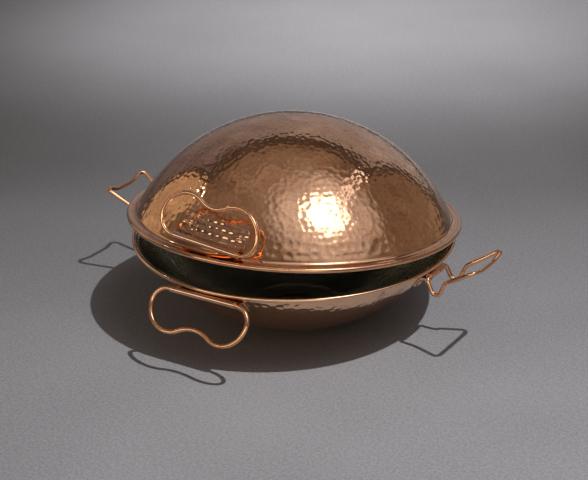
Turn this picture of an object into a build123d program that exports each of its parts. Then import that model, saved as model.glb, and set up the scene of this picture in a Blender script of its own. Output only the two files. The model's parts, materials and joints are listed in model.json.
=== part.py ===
from build123d import *
import os
from math import asin, atan2, cos, pi, sin, sqrt

# Hinged copper pan (a cataplana): a hammered bowl and a hammered domed lid of nearly the
# same size, joined by a hinge at the back, with two wire latches and two wire handles.
# +Z is up. The handles are at the front (-Y), the hinge is at the back (+Y) and the
# latches are at the two sides. The origin is the centre of the flat underside.
# All sizes are in millimetres.

# Sheet, wire and fits
SHEET = 1.0            # copper sheet of the shells and the fittings
WIRE_R = 2.0           # wire of the handles and the latches
FIT = 0.05             # radial running clearance of a wire or pin in its barrel
LAY_GAP = 0.05         # a fitting lies this far off the shell it is riveted to
BARREL_R = WIRE_R + FIT + SHEET

# Bowl
BASE_R = 47.0          # flat underside
RIM_Z = 76.5           # height of the rolled rim's centre line
BOWL_RIM_R = 150.0     # outside of the rolled rim
BOWL_BEAD_R = 2.0      # half the thickness of the rolled rim
LEDGE_R = 144.3        # inner edge of the flat ledge inside the rim
LEDGE_Z = RIM_Z + 0.5  # top of the ledge

# Lid, drawn closed
LID_RIM_R = 154.2      # outside of the rolled rim
LID_BEAD_R = 2.5       # half the thickness of the rolled rim
RIM_GAP = 0.3          # space left between the two closed rims
DOME_H = 93.3          # crown above the rim's centre line
DOME_R = 161.9         # outer radius of the dome's curvature
FLARE_R = 6.0          # concave curve from the dome out to the rim
FLANGE_RISE = 1.5      # the flange lies this far above the rim's centre line
LID_OPEN = 5.25        # the lid stands this many degrees open at rest

# Handles
HANDLE_HALF = 33.5     # half the length of a handle's barrel
HANDLE_STRAIGHT = 34.8  # half the straight part of the wire inside it
HANDLE_SIDE_R = 14.4   # bend from the barrel to the widest point
LOWER_REACH = 36.8     # barrel axis to the far side of the loop's lobes
LOWER_WAIST = 29.4     # barrel axis to the dent between the lobes
LOWER_HANG = 31.0      # degrees out from straight down at rest
LOWER_AXIS = (149.2, 71.0)   # distance from the pan's axis, and height
LOWER_PLATE_Z = 50.0   # lower edge of the plate
LID_REACH = 38.6
LID_WAIST = 31.4
LID_LEAN = 15.0        # degrees in from the closed lid's upright
LID_AXIS = (145.3, 89.9)
LID_PLATE_Z = 107.4    # upper edge of the plate
LID_SKEW = 4.0         # the lid's handle is riveted on this many degrees askew
HANDLE_RIVET_X = 25.5
LOWER_RIVET_Z = 59.5
LID_RIVET_Z = 99.9

# Latches: bends of one half of the wire, each as (along the barrel, outward, up, bend radius)
LATCH_HALF = 14.0      # half the length of a latch's barrel
LATCH_AXIS = {"right": (147.9, 69.8), "left": (145.9, 69.8)}
LATCH_PLATE_Z = 53.0
LATCH_RIVET = (7.5, 59.5)
LATCH_BENDS = [
    (18.2, 0.0, 0.0, 3.4),
    (19.0, 9.6, -19.6, 5.0),
    (21.2, 19.0, 1.2, 4.0),
    (29.8, 50.4, 21.6, 4.5),
    (13.0, 48.2, 15.6, 22.0),
]

# Hinge
HINGE_AXIS = (157.6, 78.2)   # distance from the pan's axis, and height
HINGE_HALF = 24.0
KNUCKLE_HALF = 10.0    # half the length of the lid's middle knuckle
KNUCKLE_GAP = 0.3
HINGE_FOOT = 10.5      # where a leaf's web meets its plate, above or below the pin
HINGE_PLATE_Z = (53.0, 105.0)   # far edges of the lower and the upper leaf
HINGE_RIVET_X = 15.0
HINGE_RIVET_Z = (61.5, 96.5)
PIN_HEAD_R = 2.5       # both ends of the pin are peened over
PIN_HEAD_H = 1.0

# Plates and rivets
CORNER_R = 6.5
RIVET_SHANK_R = 1.8
RIVET_HEAD_R = 3.5
RIVET_HEAD_H = 1.5
RIVET_TAIL_R = 2.9
RIVET_TAIL_H = 0.8
RIVET_DRILL = 12.0     # drilled length, right through the fitting and the shell

# Derived
BOWL_BEAD_C = BOWL_RIM_R - BOWL_BEAD_R
LID_BEAD_C = LID_RIM_R - LID_BEAD_R
BEAD_DISTANCE = BOWL_BEAD_R + LID_BEAD_R + RIM_GAP
LID_Z = RIM_Z + sqrt(BEAD_DISTANCE ** 2 - (LID_BEAD_C - BOWL_BEAD_C) ** 2)
WALL_TOP_R = LEDGE_R + SHEET
WALL_TOP_Z = LEDGE_Z - SHEET
BOWL_CENTRE_Z = (WALL_TOP_R ** 2 + WALL_TOP_Z ** 2 - BASE_R ** 2) / (2 * WALL_TOP_Z)
BOWL_R = sqrt(BASE_R ** 2 + BOWL_CENTRE_Z ** 2)
DOME_CENTRE_Z = LID_Z + DOME_H - DOME_R
BOWL_WALL = (BOWL_CENTRE_Z, BOWL_R)
DOME_WALL = (DOME_CENTRE_Z, DOME_R)


def sphere_r(wall, z):
    """Radius at height z of a wall, which is part of a sphere about the pan's axis."""
    centre_z, radius = wall
    return sqrt(radius ** 2 - (z - centre_z) ** 2)


def revolved(section):
    """Turn a section drawn as (radius, height) about the pan's axis."""
    return revolve(Plane.XZ * section, Axis.Z)


def bead(centre, z, radius):
    """Section of a rolled rim, hollow for the wire that it is rolled round."""
    return Pos(centre, z) * (Circle(radius) - Circle(radius - SHEET))


def bowl_section():
    inner = (BOWL_CENTRE_Z, BOWL_R - SHEET)
    outer_mid = (sphere_r(BOWL_WALL, RIM_Z / 2), RIM_Z / 2)
    inner_mid = (sphere_r(inner, RIM_Z / 2), RIM_Z / 2)
    inner_base = (sphere_r(inner, SHEET), SHEET)
    inner_top = (sphere_r(inner, LEDGE_Z), LEDGE_Z)
    ledge_end = BOWL_BEAD_C - BOWL_BEAD_R + SHEET / 2
    edges = [
        Line((0, 0), (BASE_R, 0)),
        ThreePointArc((BASE_R, 0), outer_mid, (WALL_TOP_R, WALL_TOP_Z)),
        Line((WALL_TOP_R, WALL_TOP_Z), (ledge_end, WALL_TOP_Z)),
        Line((ledge_end, WALL_TOP_Z), (ledge_end, LEDGE_Z)),
        Line((ledge_end, LEDGE_Z), inner_top),
        ThreePointArc(inner_top, inner_mid, inner_base),
        Line(inner_base, (0, SHEET)),
        Line((0, SHEET), (0, 0)),
    ]
    return make_face(edges) + bead(BOWL_BEAD_C, RIM_Z, BOWL_BEAD_R)


def lid_skin(offset):
    """Key points of the lid's section, offset outward from the middle of its sheet."""
    dome = DOME_R - SHEET / 2
    flange_z = LID_Z + FLANGE_RISE
    lift = flange_z + FLARE_R - DOME_CENTRE_Z
    flare_c = sqrt((dome + FLARE_R) ** 2 - lift ** 2)
    angle = atan2(lift, flare_c)
    crown_angle = (angle + pi / 2) / 2
    flare_angle = (pi + angle + 3 * pi / 2) / 2
    radius = dome + offset
    flare = FLARE_R - offset
    flare_z = flange_z + FLARE_R
    return {
        "crown": (0, DOME_CENTRE_Z + radius),
        "shoulder": (radius * cos(crown_angle), DOME_CENTRE_Z + radius * sin(crown_angle)),
        "dome_foot": (radius * cos(angle), DOME_CENTRE_Z + radius * sin(angle)),
        "flare": (flare_c + flare * cos(flare_angle), flare_z + flare * sin(flare_angle)),
        "flange": (flare_c, flange_z + offset),
        "edge": (LID_BEAD_C, flange_z + offset),
    }


def lid_section():
    outer = lid_skin(SHEET / 2)
    inner = lid_skin(-SHEET / 2)
    edges = [
        ThreePointArc(outer["crown"], outer["shoulder"], outer["dome_foot"]),
        ThreePointArc(outer["dome_foot"], outer["flare"], outer["flange"]),
        Line(outer["flange"], outer["edge"]),
        Line(outer["edge"], inner["edge"]),
        Line(inner["edge"], inner["flange"]),
        ThreePointArc(inner["flange"], inner["flare"], inner["dome_foot"]),
        ThreePointArc(inner["dome_foot"], inner["shoulder"], inner["crown"]),
        Line(inner["crown"], outer["crown"]),
    ]
    rim = bead(LID_BEAD_C, LID_Z, LID_BEAD_R)
    core = Pos(LID_BEAD_C, LID_Z) * Circle(LID_BEAD_R - SHEET)
    return make_face(edges) - core + rim


def rim_wire(centre, z, radius):
    return Pos(0, 0, z) * Torus(centre, radius)


def wall_frame(wall, x, z):
    """Frame on the front of a wall, with its Z axis along the outward normal."""
    centre_z, radius = wall
    y = -sqrt(radius ** 2 - x ** 2 - (z - centre_z) ** 2)
    return Plane(origin=(x, y, z), x_dir=(1, 0, 0), z_dir=(x, y, z - centre_z))


def rivet_holes(wall, places):
    drill = Cylinder(RIVET_SHANK_R + FIT, RIVET_DRILL)
    return [wall_frame(wall, x, z) * drill for x, z in places]


def rivet():
    """Round-headed rivet. Z = 0 is the shell's outer face, and the fitting lies on it."""
    head_z = LAY_GAP + SHEET + LAY_GAP
    tail_z = -SHEET - LAY_GAP
    dome_r = (RIVET_HEAD_R ** 2 + RIVET_HEAD_H ** 2) / (2 * RIVET_HEAD_H)
    ball = Pos(0, 0, head_z + RIVET_HEAD_H - dome_r) * Sphere(dome_r)
    above = Pos(0, 0, head_z + dome_r) * Box(4 * dome_r, 4 * dome_r, 2 * dome_r)
    low = Align.CENTER, Align.CENTER, Align.MIN
    shank = Pos(0, 0, tail_z) * Cylinder(RIVET_SHANK_R, head_z - tail_z, align=low)
    tail = Pos(0, 0, tail_z - RIVET_TAIL_H) * Cylinder(RIVET_TAIL_R, RIVET_TAIL_H, align=low)
    return (ball & above) + shank + tail


def rivets(wall, places):
    return [wall_frame(wall, x, z) * rivet() for x, z in places]


def barrel(half, radius=BARREL_R):
    return Rot(0, 90, 0) * Cylinder(radius, 2 * half)


def plate_skin(wall, half_width, near_z, far_z):
    """Sheet lying on the front of a wall, with rounded corners at its far edge."""
    centre_z, radius = wall
    reach = radius + 2 * SHEET
    middle = Pos(0, -reach / 2, (near_z + far_z) / 2)
    block = middle * Box(2 * half_width, reach, abs(far_z - near_z))
    far_edges = block.edges().filter_by(Axis.Y).group_by(Axis.Z)[-1 if far_z > near_z else 0]
    block = fillet(far_edges, CORNER_R)
    ball = Pos(0, 0, centre_z) * Sphere(radius + LAY_GAP + SHEET)
    core = Pos(0, 0, centre_z) * Sphere(radius + LAY_GAP)
    return (ball - core) & block


def rolled_plate(wall, axis, half_width, far_z, rivet_places):
    """Plate riveted to a wall, its near edge rolled into a barrel round a wire."""
    axis_r, axis_z = axis
    side = 1 if far_z > axis_z else -1
    web_z = axis_z + side * (BARREL_R - SHEET / 2)
    wall_y = sqrt(sphere_r(wall, web_z) ** 2 - half_width ** 2)
    web_depth = axis_r - wall_y + SHEET
    web = Pos(0, -axis_r + web_depth / 2, web_z) * Box(2 * half_width, web_depth, SHEET)
    core = Pos(0, 0, wall[0]) * Sphere(wall[1] + LAY_GAP)
    plate = plate_skin(wall, half_width, web_z, far_z) + (web - core)
    plate += Pos(0, -axis_r, axis_z) * barrel(half_width)
    plate -= Pos(0, -axis_r, axis_z) * barrel(2 * half_width, WIRE_R + FIT)
    for hole in rivet_holes(wall, rivet_places):
        plate -= hole
    return plate


def swept_wire(path):
    start = path @ 0
    section = Plane(origin=start, z_dir=path % 0) * Circle(WIRE_R)
    return sweep(section, path=path)


def handle_wire(reach, waist):
    """Closed bean-shaped loop. X runs along the barrel and +Y is out to the lobes."""
    side_x = HANDLE_STRAIGHT + HANDLE_SIDE_R
    lobe_r = reach - HANDLE_SIDE_R
    lobe_x = side_x - lobe_r
    rise = waist - HANDLE_SIDE_R
    dent_r = (lobe_x ** 2 + rise ** 2 - lobe_r ** 2) / (2 * (lobe_r - rise))
    turn = asin(lobe_x / (lobe_r + dent_r))
    diagonal = sqrt(0.5)
    side_mid = (HANDLE_STRAIGHT + HANDLE_SIDE_R * diagonal, HANDLE_SIDE_R * (1 - diagonal))
    side_end = (side_x, HANDLE_SIDE_R)
    lobe_mid = (lobe_x + lobe_r * diagonal, HANDLE_SIDE_R + lobe_r * diagonal)
    lobe_end = (lobe_x - lobe_r * sin(turn), HANDLE_SIDE_R + lobe_r * cos(turn))
    dent_mid = (dent_r * sin(turn / 2), waist + dent_r * (1 - cos(turn / 2)))
    half = Wire([
        Line((0, 0), (HANDLE_STRAIGHT, 0)),
        ThreePointArc((HANDLE_STRAIGHT, 0), side_mid, side_end),
        ThreePointArc(side_end, lobe_mid, lobe_end),
        ThreePointArc(lobe_end, dent_mid, (0, waist)),
    ])
    loop = swept_wire(half)
    return loop + mirror(loop, Plane.YZ)


def latch_wire():
    """Latch at rest. X runs along the barrel, -Y is outward and Z is up."""
    corners = [(0, 0, 0)]
    corners += [(along, -outward, up) for along, outward, up, bend in LATCH_BENDS]
    corners += [(0, corners[-1][1], corners[-1][2])]
    bends = [bend for along, outward, up, bend in LATCH_BENDS]
    half = swept_wire(FilletPolyline(*corners, radius=bends))
    return half + mirror(half, Plane.YZ)


def hinge_leaf(wall, far_z, rivet_z, knuckles, other_knuckles):
    """Leaf on the front of a wall, joined by a web to its knuckles round the pin."""
    axis_r, axis_z = HINGE_AXIS
    side = 1 if far_z > axis_z else -1
    foot_z = axis_z + side * HINGE_FOOT
    foot_r = sphere_r(wall, foot_z) - SHEET
    tip_z = axis_z + side * (BARREL_R - SHEET / 2)
    corners = [
        (foot_r, foot_z - SHEET / 2),
        (foot_r, foot_z + SHEET / 2),
        (axis_r, tip_z + SHEET / 2),
        (axis_r, tip_z - SHEET / 2),
    ]
    section = make_face(Polyline(*corners, close=True))
    web = extrude(Plane.YZ * mirror(section, Plane.YZ), HINGE_HALF, both=True)
    core = Pos(0, 0, wall[0]) * Sphere(wall[1] + LAY_GAP)
    leaf = plate_skin(wall, HINGE_HALF, foot_z, far_z) + (web - core)
    pin_line = Pos(0, -axis_r, axis_z)
    for low, high in other_knuckles:
        length = high - low + 2 * KNUCKLE_GAP
        clear = Rot(0, 90, 0) * Cylinder(BARREL_R + KNUCKLE_GAP, length)
        leaf -= pin_line * Pos((low + high) / 2, 0, 0) * clear
    for low, high in knuckles:
        leaf += pin_line * Pos((low + high) / 2, 0, 0) * barrel((high - low) / 2)
    leaf -= pin_line * barrel(2 * HINGE_HALF, WIRE_R + FIT)
    for hole in rivet_holes(wall, hinge_rivet_places(rivet_z)):
        leaf -= hole
    return leaf


def hinge_rivet_places(rivet_z):
    return [(-HINGE_RIVET_X, rivet_z), (HINGE_RIVET_X, rivet_z)]


def hinge_pin():
    head_x = HINGE_HALF + KNUCKLE_GAP
    pin = barrel(head_x, WIRE_R)
    for side in (-1, 1):
        pin += Pos(side * (head_x + PIN_HEAD_H / 2), 0, 0) * barrel(PIN_HEAD_H / 2, PIN_HEAD_R)
    return pin


def opened(shape):
    """Turn a piece of the closed lid to where the lid stands at rest."""
    axis_r, axis_z = HINGE_AXIS
    return shape.rotate(Axis((0, axis_r, axis_z), (-1, 0, 0)), LID_OPEN)


def skewed(shape):
    """Turn a fitting on the lid's front about the line from the dome's centre to it."""
    axis_r, axis_z = LID_AXIS
    outward = (0, -axis_r, axis_z - DOME_CENTRE_Z)
    return shape.rotate(Axis((0, 0, DOME_CENTRE_Z), outward), -LID_SKEW)


def turned(shape, quarter_turns):
    """Carry a fitting from the front round to a side or to the back."""
    return shape.rotate(Axis.Z, 90 * quarter_turns)


def pair(x, z):
    return [(-x, z), (x, z)]


def save(node, *shapes):
    """Write one named piece. Several shapes, such as a pair of rivets, become one group."""
    solids = [solid for shape in shapes for solid in shape.solids()]
    body = solids[0] if len(solids) == 1 else Compound(children=solids)
    body.label = node
    export_step(body, os.path.join("parts", node + ".step"))


def make_bowl():
    shell = revolved(bowl_section())
    latch_places = pair(*LATCH_RIVET)
    for hole in rivet_holes(BOWL_WALL, pair(HANDLE_RIVET_X, LOWER_RIVET_Z)):
        shell -= hole
    for quarter in (1, -1):
        for hole in rivet_holes(BOWL_WALL, latch_places):
            shell -= turned(hole, quarter)
    for hole in rivet_holes(BOWL_WALL, hinge_rivet_places(HINGE_RIVET_Z[0])):
        shell -= turned(hole, 2)
    save("lower_shell", shell)
    save("lower_rim_wire", rim_wire(BOWL_BEAD_C, RIM_Z, BOWL_BEAD_R - SHEET - FIT))


def make_lid():
    shell = revolved(lid_section())
    for hole in rivet_holes(DOME_WALL, pair(HANDLE_RIVET_X, LID_RIVET_Z)):
        shell -= skewed(hole)
    for hole in rivet_holes(DOME_WALL, hinge_rivet_places(HINGE_RIVET_Z[1])):
        shell -= turned(hole, 2)
    save("lid_shell", opened(shell))
    save("lid_rim_wire", opened(rim_wire(LID_BEAD_C, LID_Z, LID_BEAD_R - SHEET - FIT)))


def make_lower_handle():
    places = pair(HANDLE_RIVET_X, LOWER_RIVET_Z)
    axis_r, axis_z = LOWER_AXIS
    loop = Rot(-90 - LOWER_HANG, 0, 0) * handle_wire(LOWER_REACH, LOWER_WAIST)
    save("lower_handle_wire", Pos(0, -axis_r, axis_z) * loop)
    save("lower_handle_plate", rolled_plate(BOWL_WALL, LOWER_AXIS, HANDLE_HALF, LOWER_PLATE_Z, places))
    save("lower_handle_rivets", *rivets(BOWL_WALL, places))


def make_lid_handle():
    places = pair(HANDLE_RIVET_X, LID_RIVET_Z)
    axis_r, axis_z = LID_AXIS
    loop = Pos(0, -axis_r, axis_z) * Rot(90 - LID_LEAN, 0, 0) * handle_wire(LID_REACH, LID_WAIST)
    plate = rolled_plate(DOME_WALL, LID_AXIS, HANDLE_HALF, LID_PLATE_Z, places)
    save("lid_handle_wire", opened(skewed(loop)))
    save("lid_handle_plate", opened(skewed(plate)))
    save("lid_handle_rivets", *[opened(skewed(piece)) for piece in rivets(DOME_WALL, places)])


def make_latches():
    places = pair(*LATCH_RIVET)
    wire = latch_wire()
    for side, quarter in (("right", 1), ("left", -1)):
        axis_r, axis_z = LATCH_AXIS[side]
        plate = rolled_plate(BOWL_WALL, (axis_r, axis_z), LATCH_HALF, LATCH_PLATE_Z, places)
        save(side + "_latch_wire", turned(Pos(0, -axis_r, axis_z) * wire, quarter))
        save(side + "_latch_plate", turned(plate, quarter))
        pins = [turned(piece, quarter) for piece in rivets(BOWL_WALL, places)]
        save(side + "_latch_rivets", *pins)


def make_hinge():
    axis_r, axis_z = HINGE_AXIS
    middle = [(-KNUCKLE_HALF, KNUCKLE_HALF)]
    inner_end = KNUCKLE_HALF + KNUCKLE_GAP
    outer = [(-HINGE_HALF, -inner_end), (inner_end, HINGE_HALF)]
    low_z, high_z = HINGE_PLATE_Z
    lower = hinge_leaf(BOWL_WALL, low_z, HINGE_RIVET_Z[0], outer, middle)
    upper = hinge_leaf(DOME_WALL, high_z, HINGE_RIVET_Z[1], middle, outer)
    save("hinge_lower_leaf", turned(lower, 2))
    save("hinge_upper_leaf", opened(turned(upper, 2)))
    save("hinge_pin", Pos(0, axis_r, axis_z) * hinge_pin())
    lower_rivets = rivets(BOWL_WALL, hinge_rivet_places(HINGE_RIVET_Z[0]))
    upper_rivets = rivets(DOME_WALL, hinge_rivet_places(HINGE_RIVET_Z[1]))
    save("hinge_lower_rivets", *[turned(piece, 2) for piece in lower_rivets])
    save("hinge_upper_rivets", *[opened(turned(piece, 2)) for piece in upper_rivets])


os.makedirs("parts", exist_ok=True)
make_bowl()
make_lid()
make_lower_handle()
make_lid_handle()
make_latches()
make_hinge()
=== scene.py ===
import json
import math

import bpy
import numpy as np
from mathutils import Matrix, Vector


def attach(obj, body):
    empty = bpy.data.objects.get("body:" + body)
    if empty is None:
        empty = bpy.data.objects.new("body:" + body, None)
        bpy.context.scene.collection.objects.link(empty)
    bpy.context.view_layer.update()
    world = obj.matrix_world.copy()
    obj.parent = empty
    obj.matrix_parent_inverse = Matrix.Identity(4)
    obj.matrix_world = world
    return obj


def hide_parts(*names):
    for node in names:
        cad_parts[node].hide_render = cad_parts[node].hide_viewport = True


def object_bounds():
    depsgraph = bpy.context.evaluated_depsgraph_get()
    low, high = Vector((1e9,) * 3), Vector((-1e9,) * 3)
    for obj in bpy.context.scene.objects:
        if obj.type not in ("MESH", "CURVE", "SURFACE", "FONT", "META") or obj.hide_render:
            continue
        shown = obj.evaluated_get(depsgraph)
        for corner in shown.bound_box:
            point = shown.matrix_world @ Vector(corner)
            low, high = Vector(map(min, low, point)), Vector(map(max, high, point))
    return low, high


# Looks for the hinged copper pan: hammered copper shells with dark tinned insides,
# riveted sheet fittings and polished wire handles and latches.
# Shapes are worked out in millimetres, as the CAD is, and written in metres.

MM = 0.001

# Sheet and wire
SHEET = 1.0            # thickness
WIRE_R = 1.98          # a hair under the drawn 2.0, so that hand bends stay in the CAD box
WIRE_SWAY = 0.12       # how far hand bending moves a wire off its line
SWAY_START = 12.0      # the sway grows over this length outside the barrel
WIRE_STEP = 0.9        # points along a wire are this far apart
WIRE_END = 0.15        # a loop's two ends face each other in its barrel, this far off its middle
BARREL_R = 3.05
LAY_GAP = 0.05         # fittings lie this far off the wall

# Bowl section
BASE_R = 47.0
RIM_Z = 76.5
BOWL_BEAD_C = 148.0
BOWL_BEAD_R = 2.0
LEDGE_R = 144.3
LEDGE_TOP = 0.5        # the ledge's top stands this far above the rim's centre line

# Lid section, drawn closed
LID_BEAD_C = 151.7
LID_BEAD_R = 2.5
RIM_GAP = 0.3
DOME_H = 93.3
DOME_R = 161.9
FLARE_R = 6.0
FLANGE_RISE = 1.5

# Handles, latches and hinge
HANDLE_HALF = 33.5     # half the width of a plate and its barrel
HANDLE_STRAIGHT = 34.8
HANDLE_SIDE_R = 14.4
LOWER_HANDLE = {"reach": 36.8, "waist": 29.4, "tilt": -121.0}
LID_HANDLE = {"reach": 38.6, "waist": 31.4, "tilt": 75.0}
LID_AXIS = (145.3, 89.9)
LID_SKEW = 4.0         # degrees
HANDLE_RIVET_X = 25.5
LOWER_PLATE_Z = (50.0, 59.5)      # heights of a plate's far edge and of its rivets
LID_PLATE_Z = (107.4, 99.9)
LATCH_HALF = 14.0
LATCH_RIVET_X = 7.5
LATCH_PLATE_Z = (53.0, 59.5)
LATCH_BENDS = [        # along the barrel, outward, up, and the bend's radius
    (18.2, 0.0, 0.0, 3.4),
    (19.0, 9.6, -19.6, 5.0),
    (21.2, 19.0, 1.2, 4.0),
    (29.8, 50.4, 21.6, 4.5),
    (13.0, 48.2, 15.6, 22.0),
]
HINGE_HALF = 24.0
KNUCKLE_HALF = 10.0
KNUCKLE_GAP = 0.3
HINGE_FOOT = 10.5
HINGE_RIVET_X = 15.0
HINGE_LOWER_Z = (53.0, 61.5)
HINGE_UPPER_Z = (105.0, 96.5)
CORNER_R = 6.5         # rounding of a plate's far corners
EDGE_WEAR = 0.16       # rounding of its cut edges
BARREL_ROLL = 318      # degrees that the sheet is rolled round a wire

# Points along a fitting's section: on the wall, round the bend, on the web and round the roll
WALL_POINTS = 44
BEND_POINTS = 6
WEB_POINTS = 4
ROLL_POINTS = 22

# Hammer work
DENT_PITCH = 5.2       # most blows are this far apart
EDGE_PITCH = 8.0       # the last rows beside the rims are wider
EDGE_ROWS = 2
DENT_HOLLOW = {"lid": 36.0, "bowl": 30.0}   # radius of the hollow that one blow leaves
DENT_SINK = 0.02       # least depth of a blow, and of one in the wide rows
EDGE_SINK = 0.18
SINK_SPREAD = 0.05
DENT_LEAN = 0.045      # slope that a blow may lean by
RIDGE_SOFT = 0.006     # rounding of the ridges between blows
RIDGE_POLISH = 0.02    # facets whose heights differ by less count as ridge, which is polished
DEEPEST = 0.5          # no point lies deeper than this under the smooth face
ROW_SHARE = 0.87       # rows of blows are this share of a pitch apart
BULGE = 1.3            # the inside bulges by this share of each blow
CELL = 1.1             # mesh size on the hammered faces
COLUMNS = 864          # mesh columns round a rim

# Plate dents: pitch and depth
PLATE_DENTS = (6.6, 0.66)
LEAF_DENTS = (4.9, 0.36)
NO_DENTS = (40.0, 0.0)
FIRST_DENTS = 2.2      # the first row lies this far from a plate's far edge
DENTED = 16.0          # and the rows cover this much of it

# Parts of a shell's section, and the two metals that its mesh has
PLAIN, OUTSIDE, INSIDE, BASE, ROLLED = range(5)
COPPER, TIN = range(2)


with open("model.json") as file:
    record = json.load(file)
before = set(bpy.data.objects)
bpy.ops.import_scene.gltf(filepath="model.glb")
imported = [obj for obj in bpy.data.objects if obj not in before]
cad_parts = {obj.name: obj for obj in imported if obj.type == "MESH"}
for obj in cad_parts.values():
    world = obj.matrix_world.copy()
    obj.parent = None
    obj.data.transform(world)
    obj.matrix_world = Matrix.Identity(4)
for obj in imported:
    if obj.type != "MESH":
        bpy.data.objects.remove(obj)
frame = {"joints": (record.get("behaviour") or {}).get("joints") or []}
cad_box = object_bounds()
joints = {joint["name"]: joint for joint in frame["joints"]}

# Derived sizes
LID_Z = RIM_Z + math.sqrt((BOWL_BEAD_R + LID_BEAD_R + RIM_GAP) ** 2 - (LID_BEAD_C - BOWL_BEAD_C) ** 2)
WALL_TOP = (LEDGE_R + SHEET, RIM_Z + LEDGE_TOP - SHEET)
BOWL_CENTRE = (WALL_TOP[0] ** 2 + WALL_TOP[1] ** 2 - BASE_R ** 2) / (2 * WALL_TOP[1])
BOWL_R = math.hypot(BASE_R, BOWL_CENTRE)
DOME_CENTRE = LID_Z + DOME_H - DOME_R
BOWL_WALL = (BOWL_CENTRE, BOWL_R)
DOME_WALL = (DOME_CENTRE, DOME_R)


# ---------------------------------------------------------------- placing

def joint_point(name):
    return Vector(joints[name]["pos_m"]) / MM


def about(point, axis, degrees):
    """Matrix that turns things by so many degrees about a line."""
    turn = Matrix.Rotation(math.radians(degrees), 4, Vector(axis))
    return Matrix.Translation(point) @ turn @ Matrix.Translation(-Vector(point))


def opened():
    """From where the closed lid was drawn to where the lid stands at rest."""
    hinge = joints["lid_hinge"]
    return about(joint_point("lid_hinge"), hinge["axis"], -hinge["range_deg"][0])


def skewed():
    """The lid's handle is riveted on askew, about the line from the dome's centre to it."""
    outward = (0, -LID_AXIS[0], LID_AXIS[1] - DOME_CENTRE)
    return about(Vector((0, 0, DOME_CENTRE)), outward, -LID_SKEW)


def turned(degrees):
    return Matrix.Rotation(math.radians(degrees), 4, "Z")


def moved(points, matrix):
    a = np.array(matrix)
    return points @ a[:3, :3].T + a[:3, 3]


# ---------------------------------------------------------------- meshes

def add_piece(name, points, faces, body, nodes, materials, face_slots=None):
    """Make a mesh from points in millimetres. It stands for those CAD nodes."""
    mesh = bpy.data.meshes.new(name)
    mesh.from_pydata((points * MM).tolist(), [], faces)
    mesh.validate()
    for material in materials:
        mesh.materials.append(material)
    if face_slots is not None:
        mesh.polygons.foreach_set("material_index", face_slots)
    mesh.polygons.foreach_set("use_smooth", [True] * len(mesh.polygons))
    piece = bpy.data.objects.new(name, mesh)
    bpy.context.scene.collection.objects.link(piece)
    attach(piece, body)
    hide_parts(*nodes)
    return piece


def add_values(piece, name, values):
    attribute = piece.data.attributes.new(name, "FLOAT", "POINT")
    attribute.data.foreach_set("value", values.astype(np.float32))


def grid_faces(rows, columns, first=0, flip=False):
    """Quads between neighbouring rows of points."""
    index = first + np.arange(rows * columns).reshape(rows, columns)
    quads = np.stack([index[:-1, :-1], index[:-1, 1:], index[1:, 1:], index[1:, :-1]], -1)
    quads = quads.reshape(-1, 4)
    return quads[:, ::-1].tolist() if flip else quads.tolist()


def sheet_solid(middle, normal, lift):
    """Points and faces of a sheet about a grid of middle points. lift moves its outer face."""
    rows, columns = middle.shape[:2]
    top = middle + normal * (SHEET / 2 + lift[..., None])
    bottom = middle - normal * SHEET / 2
    points = np.concatenate([top.reshape(-1, 3), bottom.reshape(-1, 3)])
    size = rows * columns
    faces = grid_faces(rows, columns) + grid_faces(rows, columns, size, flip=True)
    index = np.arange(size).reshape(rows, columns)
    rim = np.concatenate([index[0, :], index[1:, -1], index[-1, -2::-1], index[-2:0:-1, 0]])
    follow = np.roll(rim, -1)
    faces += np.stack([follow, rim, rim + size, follow + size], -1).tolist()
    return points, faces


def tube(path, radius, sides=20):
    """Points and faces of a wire along a path, with closed ends."""
    step = np.gradient(path, axis=0)
    step /= np.linalg.norm(step, axis=1, keepdims=True)
    side = np.cross(step[0], (0.3, 0.5, 0.8))
    across = []
    for ahead in step:
        side = side - ahead * (side @ ahead)
        side = side / np.linalg.norm(side)
        across.append(side)
    across = np.array(across)
    up = np.cross(step, across)
    angle = np.linspace(0, 2 * np.pi, sides, endpoint=False)
    ring = across[:, None] * np.cos(angle)[:, None] + up[:, None] * np.sin(angle)[:, None]
    points = path[:, None] + ring * radius[:, None, None]
    rows = len(path)
    index = np.arange(rows * sides).reshape(rows, sides)
    after = np.roll(index, -1, axis=1)
    quads = np.stack([index[:-1], after[:-1], after[1:], index[1:]], -1).reshape(-1, 4)
    faces = quads.tolist() + [index[0, ::-1].tolist(), index[-1].tolist()]
    return points.reshape(-1, 3), faces


def joined(parts):
    """One list of points and faces from several."""
    points, faces, count = [], [], 0
    for part_points, part_faces in parts:
        points.append(part_points)
        faces += [[i + count for i in face] for face in part_faces]
        count += len(part_points)
    return np.concatenate(points), faces


# ---------------------------------------------------------------- hammer work

def wobble(t, seed, low, high):
    """Smooth random wave round one turn, mostly between -1 and 1."""
    rng = np.random.default_rng(seed)
    waves = range(low, high)
    phase = rng.uniform(0, 2 * np.pi, len(waves))
    share = rng.uniform(0.3, 1.0, len(waves))
    total = sum(a * np.sin(k * t + p) for k, p, a in zip(waves, phase, share))
    return total / share.sum() * 1.6


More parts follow.
